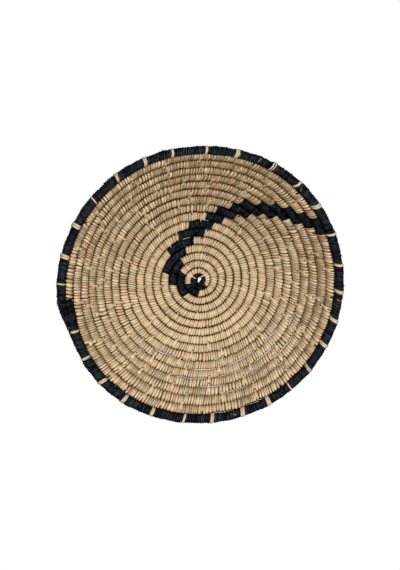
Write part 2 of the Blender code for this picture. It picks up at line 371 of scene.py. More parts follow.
# Shades of each fibre: rusty and faded are its own colours; the rest are painted shade on the seams'
# flanks, in the clefts and in the seams
STRAW_SHADES = {
    "rusty": (0.60, 0.33, 0.14),
    "faded": (0.30, 0.225, 0.142),
    "seam_flank_shade": (0.22, 0.115, 0.03),
    "cleft": (0.06, 0.027, 0.007),
    "seam": (0.022, 0.009, 0.002),
}
DYED_SHADES = {
    "rusty": (0.004, 0.006, 0.014),
    "faded": (0.004, 0.004, 0.005),
    "seam_flank_shade": (0.001, 0.0013, 0.002),
    "cleft": (0.0005, 0.0006, 0.0009),
    "seam": (0.0005, 0.0006, 0.0009),
}
GREENISH = (0.88, 1.0, 0.86)
ROSY = (1.0, 0.92, 0.93)

# Grain of the fibre: waves a millimetre across the strip and along it, and how much detail
STREAK = (2.6, 0.32, 3.0)
STRAND = (0.9, 0.2, 2.0)
PATCH = (0.09, 0.12, 2.0)
FLECK = (1.4, 1.2, 1.0)
TINT = (0.12, 0.1, 2.0)
FLECK_LIMIT = 0.12

# How far the grain moves from one strip to the next, and where the patches and flecks are taken
MOVED = {"streak": 9.0, "strand": 5.0, "tint": 0.7}
PATCH_PLACE = 0.0
FLECK_PLACE = 4.0

# How strongly each kind of grain changes the tone, and each shade comes in
GRAIN = {"streak": 0.6, "strand": 0.5, "patch": 0.12, "fleck": 1.6}
SHARE = {
    "rusty": 0.7, "tint": 2.0, "faded": 0.32, "faded_patch": 2.5, "seam_flank_shade": 1.3, "cleft": 0.95,
    "seam": 0.9,
}
RELIEF = 0.5
BUMP = {"Strength": 0.5, "Distance": 0.0002}

# Each finish: its stops, middle tone, grit, shades, roughness and gloss
FINISHES = {
    "natural_fibre": (STRAW, 0.672, 1.3, STRAW_SHADES, (0.6, 0.85), 0.03),
    "black_fibre": (DYED, 0.145, 3.3, DYED_SHADES, (0.42, 0.6), 0.005),
    "pale_fibre": (PALE_STRAW, 0.665, 1.2, STRAW_SHADES, (0.6, 0.85), 0.03),
}


def ease(value, limits):
    """Rises smoothly from 0 to 1 as value passes between the two limits."""
    low, high = limits
    share = np.clip((value - low) / (high - low), 0.0, 1.0)
    return share * share * (3.0 - 2.0 * share)


def between(limits, share):
    """The value that lies at this share of the way from the first limit to the second."""
    return limits[0] + (limits[1] - limits[0]) * share


def degrees_off(turn, side_deg):
    """Degrees round from a side of the plate, -180 to 180."""
    half_circle = CIRCLE_DEG / 2.0
    return (turn * CIRCLE_DEG - side_deg + half_circle) % CIRCLE_DEG - half_circle


def seam_arc(turn):
    """Way along the dish from the middle to the seam outside the coil at this turn."""
    wound = turn + TURNS_TO_MIDDLE
    arc = FIRST_PITCH * wound + PITCH_GROWTH * wound * wound / 2.0
    arc = arc + START_SWELL * np.maximum(0.0, 1.0 - turn) ** 2
    bulge = np.exp(-((degrees_off(turn, BULGE_ANGLE_DEG) / BULGE_SPREAD_DEG) ** 2))
    bulge = bulge * ease(turn, BULGE_GROWS_TURNS) * (1.0 - ease(turn, BULGE_FADES_TURNS))
    for waves, start in WANDER_WAVES:
        arc = arc + SEAM_WANDER * np.sin(waves * turn * TAU + start) * ease(turn, WANDER_GROWS_TURNS)
    return arc + BULGE * bulge - RIM_NARROWING * ease(turn, RIM_NARROWS_TURNS)


def inner_arc(turn):
    """The seam inside the coil: the turn before, or the open middle under the first turn."""
    closed = ease(turn, CLOSE_UP_TURNS)
    open_middle = HOLE_RADIUS + closed * (seam_arc(START_TURN) - HOLE_RADIUS)
    return np.where(turn - 1.0 >= START_TURN, seam_arc(turn - 1.0), open_middle)


def dish_point(arc):
    """Radius and distance from the wall of a point of the dish's middle surface."""
    bent = np.clip((arc - FLAT_RADIUS) / BEND_RADIUS, 0.0, WALL_ANGLE)
    straight = np.maximum(0.0, arc - FLAT_RADIUS - BEND_RADIUS * WALL_ANGLE)
    radius = np.minimum(arc, FLAT_RADIUS) + BEND_RADIUS * np.sin(bent) + straight * math.cos(WALL_ANGLE)
    rise = BEND_RADIUS * (1.0 - np.cos(bent)) + straight * math.sin(WALL_ANGLE)
    return radius, BASE_HEIGHT / 2.0 + rise


def open_seam(turn):
    """How far the row stays back from the next one, where the seam between them stands open."""
    opened = 0.0 * turn
    for row, first, last in OPEN_SEAMS:
        middle = row + (first + last) / (2.0 * CIRCLE_DEG)
        half = (last - first) / (2.0 * CIRCLE_DEG)
        opened = np.maximum(opened, 1.0 - (np.abs(turn - middle) / half) ** OPEN_SQUARENESS)
    return OPEN_SEAM * np.clip(opened, 0.0, 1.0)


def coil_radius(turn):
    """Radius of the coil's middle."""
    return dish_point((inner_arc(turn) + seam_arc(turn)) / 2.0)[0]


def coil_point(turn, x, y, lift=0.0):
    """A point of the coil's skin: x across and y to the front, as shares of half width and height."""
    inner_r, inner_y = dish_point(inner_arc(turn) - PRESS)
    outer_r, outer_y = dish_point(seam_arc(turn) + PRESS - open_seam(turn))
    half_r, half_y = (outer_r - inner_r) / 2.0, (outer_y - inner_y) / 2.0
    half_width = np.hypot(half_r, half_y)
    half_height = np.maximum(HEIGHT_SHARE * half_width, np.minimum(half_width, BASE_HEIGHT / 2.0))
    away, ahead = x * (half_width + lift) / half_width, y * (half_height + lift) / half_width
    r = (inner_r + outer_r) / 2.0 + half_r * away - half_y * ahead
    out = (inner_y + outer_y) / 2.0 + half_y * away + half_r * ahead
    lean = np.exp(-(((turn - LEAN_MIDDLE_TURN) / LEAN_SPREAD_TURNS) ** 2))
    r, out = r - LEAN_IN * lean, out + LEAN_FORWARD * lean
    taper = 1.0 - (1.0 - TIP_SHARE) * ease(turn, (END_TURN - TAPER_TURNS, END_TURN))
    r, out = inner_r + (r - inner_r) * taper, inner_y + (out - inner_y) * taper
    aside = 1.0 - ease(turn - (1.0 - x) / ROW_ACROSS, HOLE_ASIDE_TURNS)
    across = r * np.cos(turn * TAU) + HOLE_ASIDE[0] * aside
    up = r * np.sin(turn * TAU) + HOLE_ASIDE[1] * aside
    return np.stack([across, -out, up], axis=-1)


def along_coil(turn):
    """The way in which the coil runs at this turn."""
    return [-math.sin(turn * TAU), 0.0, math.cos(turn * TAU)]


def turns_over(length, turn):
    """This length of coil, in turns."""
    return length / (TAU * float(coil_radius(turn)))


TURN_GRID = np.linspace(START_TURN, END_TURN, LENGTH_STEPS)
STEP_LENGTHS = coil_radius(TURN_GRID[1:]) * TAU * np.diff(TURN_GRID)
LENGTH_GRID = np.concatenate([[0.0], np.cumsum(STEP_LENGTHS)])


def length_at(turn):
    """Length of coil wound up to this turn."""
    return np.interp(turn, TURN_GRID, LENGTH_GRID)


def turn_at(length):
    """The turn up to which this length of coil is wound."""
    return np.interp(length, LENGTH_GRID, TURN_GRID)


def wander(place, reach, seed):
    """Smooth random values, 0 to 1, that change over about this reach along the coil."""
    knots = np.random.default_rng(seed).random(int(LENGTH_GRID[-1] / reach) + 3)
    spot = np.asarray(place) / reach
    low = np.floor(spot).astype(int)
    share = ease(spot - low, (0.0, 1.0))
    return knots[low] * (1.0 - share) + knots[low + 1] * share


def wear(turn):
    """How worn and dark the wrapping is: 0 on the base, 1 on the outer rows of the wall."""
    first, last = WORN_TURNS
    return 0.5 * ease(turn, first) + 0.5 * ease(turn, last)


def slant(place):
    """How far round, in turns, the strips lean from the middle of the coil to its outer side."""
    turns = turn_at(place)
    lean = SLANT * (2.0 * wander(place, SLANT_REACH, SLANT_SEED) - 1.0) - LEAN_BACK
    return lean * (seam_arc(turns) - inner_arc(turns)) / 2.0 / (TAU * coil_radius(turns))


def lit_side(turns):
    """1 on the side of the plate towards which light is painted, -1 across from it."""
    return np.cos(turns * TAU - math.radians(LIT_SIDE_DEG))


def local_tone(turns):
    """Shade of the natural wrapping: darker on the worn outer rows, with painted light towards one side
    of the plate and painted shade over a patch on the upper right.
    """
    # Painted light: the plate lighter towards one side and darker across from it
    painted_side = between(PAINTED_SIDE_LIGHT, ease(turns, PAINTED_SIDE_LIGHT_TURNS)) * lit_side(turns)
    off = degrees_off(turns, SHADED_SIDE_DEG) / SHADED_SPREAD_DEG
    # Painted shade over a patch of the outer rows on the upper right
    return painted_side - PAINTED_SHADE_PATCH * np.exp(-(off**2)) * ease(turns, SHADED_TURNS) - WORN_DARK * wear(turns)


def looseness(place):
    """Where the strips stand apart and proud, 1, and where they are packed flat, 0."""
    worn = ease(turn_at(place), (TIGHT_ROWS, TIGHT_ROWS + LOOSENS_OVER_TURNS))
    loose = ease(wander(place, LOOSE_REACH, LOOSE_SEED) + LOOSER_ON_WALL * worn, LOOSE_LIMITS)
    return loose * (LOOSE_ON_BASE + (1.0 - LOOSE_ON_BASE) * worn)


class Strips:
    """Every wrapping strip along the coil: where it ends, and how it looks."""

    def __init__(self, seed):
        chance = np.random.default_rng(seed)
        edges = [0.0]
        while edges[-1] < LENGTH_GRID[-1]:
            width = STRIP_WIDTH + LOOSE_STRIP * float(looseness(edges[-1]))
            width *= BLACK_STRIP if black_at(turn_at(edges[-1])) else 1.0
            edges.append(edges[-1] + width * max(NARROWEST_SHARE, 1.0 + STRIP_UNEVEN * chance.normal()))
        self.edges = np.array(edges)
        count = len(edges)
        self.tone = chance.normal(0.0, 1.0, count)
        self.warm = chance.random(count)
        self.rise = chance.normal(0.0, STRIP_RISE, count)
        self.gap = chance.uniform(*CLEFT_UNEVEN, count)

    def within(self, first, last):
        """Edges of the strips of a run, its two ends among them, and the number of each strip."""
        margin = STRIP_WIDTH * LEFT_OVER_SHARE
        inside = np.where((self.edges > first + margin) & (self.edges < last - margin))[0]
        edges = np.concatenate([[first], self.edges[inside], [last]])
        numbers = np.concatenate([[inside[0] - 1], inside])
        return edges, np.maximum(0, numbers)


def section_ring(sides):
    """Shares across and to the front of the coil's rounded section, starting at the back."""
    angle = TAU * np.arange(sides) / sides - TAU / 4.0
    power = 2.0 / SQUARENESS
    across, front = np.cos(angle), np.round(np.sin(angle), AXIS_DECIMALS)
    return np.sign(across) * np.abs(across) ** power, np.sign(front) * np.abs(front) ** power


def front_share(x, turn):
    """How far to the front the section stands at this share across it."""
    outer = ease(turn, OUTER_SECTION_TURNS)
    square = between((SQUARENESS, OUTER_SQUARENESS), outer)
    rounded = (1.0 - np.minimum(1.0, np.abs(x)) ** square) ** (1.0 / square)
    return (1.0 + OUTER_SKEW * outer * x) * rounded


def skin_point(turn, x, lift=0.0):
    """A point on the front of the coil's skin, or this far over it."""
    return coil_point(turn, x, front_share(x, turn), lift)


def add_piece(name, tubes):
    """One piece made of closed tubes: rings of points, millimetres along and around, and values."""
    points, faces, spread = [], [], []
    numbers = {key: [] for key in VALUES}
    start = 0
    for rings, along, around, values in tubes:
        count, sides = rings.shape[:2]
        first = start + np.arange(count - 1)[:, None] * sides + np.arange(sides)[None, :]
        after = start + np.arange(count - 1)[:, None] * sides + (np.arange(sides)[None, :] + 1) % sides
        faces += np.stack([first, after, after + sides, first + sides], axis=-1).reshape(-1, 4).tolist()
        faces.append(list(range(start, start + sides))[::-1])
        faces.append(list(range(start + (count - 1) * sides, start + count * sides)))
        low, high = np.repeat(along[:-1, None], sides, 1), np.repeat(along[1:, None], sides, 1)
        side = np.arange(sides)[None, :] * around + np.zeros((count - 1, 1))
        corners = [(low, side), (low, side + around), (high, side + around), (high, side)]
        spread.append(np.stack([np.stack(corner, -1) for corner in corners], axis=2).reshape(-1, 2))
        spread.append(np.repeat([[along[0], 0.0], [along[-1], 0.0]], sides, axis=0))
        points.append(rings.reshape(-1, 3))
        for key in VALUES:
            numbers[key].append(np.broadcast_to(values.get(key, 0.0), (count, sides)).ravel())
        start += count * sides
    mesh = bpy.data.meshes.new(name)
    mesh.from_pydata(np.concatenate(points).tolist(), [], faces)
    layer = mesh.uv_layers.new(name="strip_map")
    layer.data.foreach_set("uv", np.concatenate(spread).astype(np.float32).ravel())
    for key in VALUES:
        attribute = mesh.attributes.new(key, "FLOAT", "POINT")
        attribute.data.foreach_set("value", np.concatenate(numbers[key]).astype(np.float32))
    mesh.shade_smooth()
    piece = bpy.data.objects.new(name, mesh)
    bpy.context.scene.collection.objects.link(piece)
    return piece


def dress(piece, finish, slot, *nodes):
    """Hands a piece over: its finish, the body it rides on and the nodes it stands for."""
    piece.data.materials.append(finish)
    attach(piece, BODY)
    if nodes:
        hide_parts(*nodes)


def strip_stations(edges, tone, warm, rise, gap, loose, ends=PAINTED_END_SHADE):
    """Places along some strips, with the inset and the look at each place."""
    widths = np.diff(edges)
    depth = (CLEFT_DEPTH + LOOSE_CLEFT * loose) * gap
    shade = (PACKED_CLEFT_SHADE + (1.0 - PACKED_CLEFT_SHADE) * loose) * gap
    depth[[0, -1]] = END_ROUNDING
    shade[[0, -1]] = ends
    shares = np.array([0.0, CLEFT_SHARE, 0.5, 1.0 - CLEFT_SHARE])
    place = (edges[:-1, None] + widths[:, None] * shares).ravel()
    foot = CLEFT_FOOT
    inset = np.stack([depth[:-1], foot * depth[:-1] - rise, -rise, foot * depth[1:] - rise], 1)
    cleft = np.stack([shade[:-1], foot * shade[:-1], 0.0 * rise, foot * shade[1:]], 1)
    look = {"inset": np.append(inset, depth[-1]), "cleft": np.append(cleft, shade[-1])}
    stations = len(shares)
    look["tone"] = np.append(np.repeat(tone, stations), tone[-1])
    look["warm"] = np.append(np.repeat(warm, stations), warm[-1])
    look["rise"] = np.append(np.repeat(np.abs(rise), stations), 0.0)
    look["loose"] = np.append(np.repeat((loose[:-1] + loose[1:]) / 2.0, stations), loose[-1])
    return np.append(place, edges[-1]), look


def bites_in(first, last):
    """Places of a run into which the next row's stitches bite."""
    return np.array([length_at(turn - 1.0) for turn in STITCH_TURNS if first < turn - 1.0 < last])


def add_bites(place, look, bites):
    """Puts further places into a run, so that the marks of the bites have their shape."""
    extra = np.concatenate([bites + BITE_WIDTH * station for station in BITE_STATIONS])
    extra = extra[(extra > place[0] + RUN_GAP) & (extra < place[-1] - RUN_GAP)]
    spots = np.unique(np.round(np.concatenate([place, extra]), BITE_SPOT_DECIMALS))
    return spots, {key: np.interp(spots, place, numbers) for key, numbers in look.items()}


def bite_marks(place, bites, x, y):
    """How hard a stitch of the next row presses, 0 to 1, at each place and side of the coil."""
    marks = np.zeros((len(place), len(x)))
    for middle in bites:
        near = np.exp(-(((place - middle) / BITE_WIDTH) ** 2))
        across = np.exp(-(((x - BITE_PLACE) / BITE_REACH) ** 2)) * (y > 0.0)
        marks = np.maximum(marks, near[:, None] * across[None, :])
    return marks


def strip_tones(look, turns, x, y, natural, crown):
    """How light the strips are: each its own, then wear, painted light on one side of the plate and on
    each row's outer side, and a painted sheen along their crown.
    """
    worn = natural * wear(turns)
    spread = TIGHT_SPREAD + (1.0 - TIGHT_SPREAD) * ease(turns, LOOSENED_TURNS) + WORN_SPREAD * worn
    tone = look["tone"] * TONE_SPREAD * spread
    tone = tone + LOOSE_LIGHT * look["loose"] * worn + local_tone(turns) * natural
    # Painted light and shade: each worn row lighter on its outer side and darker on its inner side,
    # more so towards the lit side
    outside_light = (PAINTED_OUTSIDE_LIGHT[0] + PAINTED_OUTSIDE_LIGHT[1] * lit_side(turns)) * worn
    tone = tone[:, None] + outside_light[:, None] * x[None, :]
    # Painted sheen along the crown, stronger towards the outer side
    return tone + crown * (CROWN_LEAN[0] + CROWN_LEAN[1] * x) * np.maximum(y, 0.0) ** CROWN_SHARPNESS


def painted_seam_band(look, turns, x, y):
    """Where the painted seam shade lies, 0 to 1: toothed by the strips, narrower and farther out on the
    wall.
    """
    low, high = SEAM_BAND
    high = high - SEAM_NARROWS * ease(turns, SEAM_NARROWS_TURNS)[:, None]
    outside = NARROW_OUTSIDE[0] + NARROW_OUTSIDE[1] * lit_side(turns)[:, None]
    shift = SCALLOP * np.minimum(1.0, look["cleft"])[:, None]
    shift = shift - outside * ease(turns, LOOSENED_TURNS)[:, None] * (x > 0.0)
    band = 1.0 - ease(np.abs(y)[None, :], (low + shift, high + shift))
    return band * (1.0 - ease(turns, OUTERMOST_TURNS)[:, None] * (x > 0.0))


def painted_seam_shades(place, turns, x, natural):
    """How dark the painted seam shade is: fainter where the seams stand open and on one side, darkest
    under the rim, where it is painted shadow with dye from the black strips.
    """
    shade = between(SEAM_SHADE, wander(place, SHADE_REACH, SHADE_SEED))[:, None]
    side = np.cos(turns * TAU - math.radians(FAINT_SEAMS_DEG))
    faint = (FAINT_SEAMS * natural * wear(turns) * side)[:, None]
    opened = open_seam(turns[:, None] - (x < 0.0)) / OPEN_SEAM
    shade = shade * (1.0 - OPEN_LIGHT * opened - faint)
    shade = shade * (1.0 - FAINT_OUTER_SEAMS * ease(turns, FAINT_OUTER_TURNS))[:, None]
    # Painted shadow of the rim, with dye from its black strips, on the outer side of the row under it
    under_rim = (ease(turns, UNDER_RIM_TURNS) * natural)[:, None] * (x > 0.0)
    return shade + RIM_SHADOW_AND_DYE * under_rim


def painted_cleft_shades(look, turns, y):
    """How dark the shade painted in the clefts between the strips is: darker towards the seams."""
    middle = between(CLEFT_IN_MIDDLE, ease(turns, LOOSENED_TURNS)[:, None])
    toothed = middle + (CLEFT_IN_SEAM - middle) * (1.0 - ease(np.abs(y), CLEFT_BAND))[None, :]
    return look["cleft"][:, None] * toothed


def sleeve(place, look, bites=(), raised=0.0, natural=0.0, crown=0.0):
    """Strips wound side by side round the coil, with the marks of the stitches that bite into them."""
    if len(bites):
        place, look = add_bites(place, look, bites)
    x, y = section_ring(SIDES)
    bite = bite_marks(place, bites, x, y)
    turns = turn_at(place)
    shown = between((SEAM_INSET_SHARE, 1.0), np.minimum(1.0, SEAM_INSET_REACH * np.abs(y)))
    lift = raised - look["inset"][:, None] * shown[None, :] - BITE_DEPTH * bite
    wobble = np.minimum(SEAM_WOBBLE * look["rise"], MOST_WOBBLE) * (1.0 - open_seam(turns) / OPEN_SEAM)
    lift = lift + wobble[:, None] * (1.0 - np.abs(y))[None, :]
    front = np.sign(y)[None, :] * front_share(x[None, :], turns[:, None])
    leant = turns[:, None] + slant(place)[:, None] * x[None, :]
    rings = coil_point(leant, x[None, :], front, lift)
    # Painted shade goes into the clefts, the pits of the bites and the seams
    values = {
        "tone": strip_tones(look, turns, x, y, natural, crown),
        "warm": look["warm"][:, None],
        "cleft": np.maximum(painted_cleft_shades(look, turns, y), BITE_SHADE * bite),
        "faded": (natural * wear(turns) * (1.0 - look["loose"]))[:, None],
        "seam": painted_seam_band(look, turns, x, y) * painted_seam_shades(place, turns, x, natural),
    }
    around = MM * TAU * float((seam_arc(turns) - inner_arc(turns)).mean()) * GIRTH_SHARE / SIDES
    return rings, MM * place, around, values


def wrapped_run(name, first, last, strips, finish, slot):
    """One run of wrapping, from where its colour begins to where it ends."""
    edges, numbers = strips.within(float(length_at(first)), float(length_at(last)))
    natural = float(name.startswith("natural"))
    tone, rise, loose = strips.tone[numbers], strips.rise[numbers], looseness(edges)
    # Painted sheen along the crowns of the black strips
    crown = PAINTED_CROWN_SHEEN * (1.0 - natural)
    if name == "rim_black_wrap":
        loose = np.maximum(loose, RIM_LOOSE)
        rise = rise * RIM_UNEVEN
        tone, crown = RIM_SPREAD * tone + RIM_LIGHT / TONE_SPREAD, PAINTED_RIM_SHEEN
    # Painted highlight on the rounded last strip of each natural run
    tone[-1] += PAINTED_END_HIGHLIGHT * natural
    gap = strips.gap[np.append(numbers, numbers[-1])]
    place, look = strip_stations(edges, tone, strips.warm[numbers], rise, gap, loose)
    run = sleeve(place, look, bites_in(first, last), natural=natural, crown=crown)
    dress(add_piece(name, [run]), finish, slot, name)


def core_bundle(finish):
    """The grass bundle that the strips are wound on, seen only through gaps."""
    place = np.arange(CORE_INSET, length_at(END_TURN - TAPER_TURNS / 2.0), CORE_STEP)
    x, y = section_ring(CORE_SIDES)
    turns = turn_at(place)[:, None]
    front = np.sign(y)[None, :] * front_share(x[None, :], turns)
    rings = coil_point(turns, x[None, :], front, -CORE_INSET)
    bundle = add_piece("grass_core", [(rings, MM * place, CORE_SIDE_MM, {})])
    dress(bundle, finish, "core_grass", "core_coil")


def rim_accents(finish):
    """The pale stitches over the black rim, of one strip or two."""
    chance = np.random.default_rng(ACCENT_SEED)
    sorts = (
        (THIN_ACCENT_WIDTH, 1, THIN_ACCENTS_DEG), (PLAIN_ACCENT_WIDTH, 1, PLAIN_ACCENTS_DEG),
        (WIDE_ACCENT_WIDTH, 2, WIDE_ACCENTS_DEG), (DOUBLE_ACCENT_WIDTH, 2, DOUBLE_ACCENTS_DEG),
    )
    accents = sorted((angle, width, count) for width, count, angles in sorts for angle in angles)
    for number, (angle, width, count) in enumerate(accents, start=1):
        middle = float(length_at(ROWS + angle / CIRCLE_DEG))
        edges = np.linspace(middle - width / 2.0, middle + width / 2.0, count + 1)
        tone = (ACCENT_LIGHT / TONE_SPREAD) + chance.normal(0.0, ACCENT_SPREAD, count)
        rise, gap = chance.normal(0.0, STRIP_RISE, count), np.full(count + 1, ACCENT_CLEFT)
        warm, loose = chance.random(count), np.full(count + 1, ACCENT_LOOSE)
        place, look = strip_stations(edges, tone, warm, rise, gap, loose, ACCENT_ENDS)
        band = sleeve(place, look, raised=ACCENT_RAISE)
        dress(add_piece(f"accent_stitch_{number:02d}", [band]), finish, "natural_fibre")


def ribbon(path, along, widths, thickness, values):
    """A flat strip that follows a path and lies across the given direction."""
    path, widths = np.array(path), np.array(widths)
    forward = np.gradient(path, axis=0)
    forward = forward / np.linalg.norm(forward, axis=1, keepdims=True)
    side = along - forward * (along * forward).sum(axis=1, keepdims=True)
    side = side / np.linalg.norm(side, axis=1, keepdims=True)
    up = np.cross(forward, side)
    angle = TAU * np.arange(RIBBON_SIDES) / RIBBON_SIDES
    across = side[:, None, :] * (widths[:, None] * np.cos(angle) / 2.0)[..., None]
    over = up[:, None, :] * (thickness * np.sin(angle) / 2.0)[None, :, None]
    rings = path[:, None, :] + across + over
    steps = np.concatenate([[0.0], np.cumsum(np.linalg.norm(np.diff(path, axis=0), axis=1))])
    return rings[:, ::-1], MM * steps, RIBBON_SIDE_MM, values


def uneven(chance):
    """A hand-cut strip's share of its usual width."""
    return between(RIBBON_UNEVEN, chance.random())


def stitch(turn, way, chance):
    """One stitch, from the front of its row over the seam into the row before."""
    lean = chance.normal(0.0, STITCH_LEAN)
    width = RIM_STITCH_WIDTH
    if way is JOINING_WAY:
        width = between(STITCH_WIDTH, ease(turn, STITCH_WIDENS_TURNS))
    width = width * uneven(chance)
    path, along, widths = [], [], []
    for step, (back, x, lift, share) in enumerate(way):
        at = turn - back
        at += turns_over(lean * step / len(way), at)
        at += float(slant(length_at(at))) * (x if back else x + ROW_ACROSS)
        path.append(skin_point(at, x, lift))
        along.append(along_coil(at))
        widths.append(width * share)
    tone = STITCH_LIGHT + chance.normal(0.0, TONE_SPREAD) + float(local_tone(np.array(turn)))
    # Painted shade along the stitch's two edges, where it lies against the strips beside it
    to_side = np.cos(TAU * np.arange(RIBBON_SIDES) / RIBBON_SIDES)
    edge = PAINTED_STITCH_EDGE_SHADE * to_side[None, :] ** STITCH_EDGE_SHARPNESS
    values = {"tone": tone, "warm": chance.random(), "cleft": edge}
    return ribbon(path, np.array(along), widths, STITCH_THICKNESS, values)


def joining_stitches(name, black, finish, slot):
    """All stitches of one colour that join a row to the row before it."""
    chance = np.random.default_rng(STITCH_SEED)
    turns = [turn for turn in STITCH_TURNS if turn > FIRST_SEEN_STITCH and black_at(turn) == black]
    ways = [RIM_WAY if turn > RIM_START_TURN else JOINING_WAY for turn in turns]
    stitches = [stitch(turn, way, chance) for turn, way in zip(turns, ways)]
    dress(add_piece(name, stitches), finish, slot)


def centre_ties(name, black, finish, slot):
    """Short strips of one colour tied across the start of the coil."""
    tubes = []
    for way, width, is_black in CENTRE_TIES:
        if is_black == black:
            path = [(x, -TIE_FRONT, z) for x, z in way]
            path = [(path[0][0], -BASE_HEIGHT / 2.0, path[0][2])] + path
            path = path + [(path[-1][0], -BASE_HEIGHT / 2.0, path[-1][2])]
            forward = np.gradient(np.array(path), axis=0)
            along = np.cross(forward + NO_LENGTH, [0.0, 1.0, 0.0])
            widths = [width] * len(path)
            tubes.append(ribbon(path, along, widths, TIE_THICKNESS, {"warm": TIE_WARMTH}))
    dress(add_piece(name, tubes), finish, slot)


def end_lashing(finish):
    """Black strips that bind the thin end of the coil to the row under it."""
    chance = np.random.default_rng(LASHING_SEED)
    tubes = []
    for place in np.arange(length_at(END_TURN) - LASHED_LENGTH, length_at(END_TURN), LASHING_STEP):
        turn = float(turn_at(place))
        path = [skin_point(turn - back, x, lift) for back, x, lift in LASHING_WAY]
        along = np.tile(along_coil(turn), (len(path), 1))
        widths = [LASHING_WIDTH * uneven(chance)] * len(path)
        values = {"tone": LASHING_SPREAD * chance.normal(), "warm": chance.random()}
        tubes.append(ribbon(path, along, widths, STITCH_THICKNESS, values))
    dress(add_piece("rim_end_lashing", tubes), finish, "black_fibre")


def stray_strands(finish):
    """Thin loose ends of pale fibre lying on the black rim."""
    tubes = []
    shares = [step / STRAY_STEPS for step in range(STRAY_STEPS + 1)]
    for row, angle, first, last, length in STRAYS:
        turn = row + angle / CIRCLE_DEG
        reach = turns_over(length, turn)
        places = [(turn + reach * share, between((first, last), share)) for share in shares]
        path = [skin_point(at, x, STRAY_LIFT) for at, x in places]
        along = np.tile(along_coil(turn), (len(path), 1))
        tubes.append(ribbon(path, along, [STRAY_WIDTH] * len(path), STRAY_WIDTH, STRAY_LOOK))
    dress(add_piece("stray_strands", tubes), finish, "natural_fibre")


def parted(turn, side):
    """A run's end, half a gap away from where it meets the next run."""
    return turn + turns_over(side * RUN_GAP / 2.0, turn)


def wound_runs():
    """Name, first turn and last turn of each wrapped run, from the middle to the coil's end."""
    edge = CENTRE_BLACK_END_DEG / CIRCLE_DEG
    yield "centre_black_wrap", START_TURN, parted(edge, -1)
    for row, (first_deg, last_deg) in enumerate(BLACK_RUNS_DEG, start=1):
        first, last = row + first_deg / CIRCLE_DEG, row + last_deg / CIRCLE_DEG
        yield f"natural_wrap_{row:02d}", parted(edge, 1), parted(first, -1)
        yield f"black_wrap_{row:02d}", parted(first, 1), parted(last, -1)
        edge = last
    yield f"natural_wrap_{ROWS + 1:02d}", parted(edge, 1), parted(RIM_START_TURN, -1)
    yield "rim_black_wrap", parted(RIM_START_TURN, 1), END_TURN


def black_at(turn):
    """Whether the coil is wrapped in black at this turn."""
    return any(first < turn < last for name, first, last in RUNS if "black" in name)


def stitch_turns():
    """Turns of all joining stitches: those seen, and evenly spaced ones between them."""
    seen = sorted(row + angle / CIRCLE_DEG for row, angles in STITCHES_DEG for angle in angles)
    seen = [FIRST_STITCH_TURN] + seen + [LAST_STITCH_TURN]
    turns = []
    for turn, after in zip(seen, seen[1:]):
        span = float(length_at(after) - length_at(turn))
        parts = max(1, round(span / STITCH_SPACING))
        steps = length_at(turn) + span * np.arange(parts) / parts
        turns += [float(t) for t in turn_at(steps)]
    for angle in RIM_STITCHES_DEG:
        past = angle if angle > RIM_START_DEG else angle + CIRCLE_DEG
        turns.append(ROWS + past / CIRCLE_DEG)
    return turns


class Shade:
    """A shader socket that Python arithmetic can use: each sum or product adds its Math node."""

    def __init__(self, tree, socket=None):
        self.tree, self.socket = tree, socket

    def node(self, kind, settings=(), inputs=(), output=0):
        """Adds one node: its settings first, then the values or links of its sockets."""
        made = self.tree.nodes.new(kind)
        for name, value in dict(settings).items():
            if name == "stops":
                for place, colour in value[2:]:
                    made.color_ramp.elements.new(place)
                for element, (place, colour) in zip(made.color_ramp.elements, value):
                    element.position, element.color = place, (*colour, 1.0)
            else:
                setattr(made, name, value)
        for name, value in dict(inputs).items():
            if isinstance(value, Shade):
                self.tree.links.new(value.socket, made.inputs[name])
            else:
                made.inputs[name].default_value = value
        return Shade(self.tree, made.outputs[output])

    def math(self, operation, first, second):
        """Adds one Math node."""
        return self.node("ShaderNodeMath", {"operation": operation}, {0: first, 1: second})

    def mix(self, share, first, colour, kind="MIX"):
        """The first colour, brought this share of the way to another, or to both multiplied."""
        settings = {"data_type": "RGBA", "blend_type": kind}
        return self.node("ShaderNodeMix", settings, {0: share, 6: first, 7: (*colour, 1.0)}, 2)

    def __add__(self, other):
        return self.math("ADD", self, other)

    def __sub__(self, other):
        return self.math("SUBTRACT", self, other)

    def __rsub__(self, other):
        return self.math("SUBTRACT", other, self)

    def __mul__(self, other):
        return self.math("MULTIPLY", self, other)

    __radd__, __rmul__ = __add__, __mul__


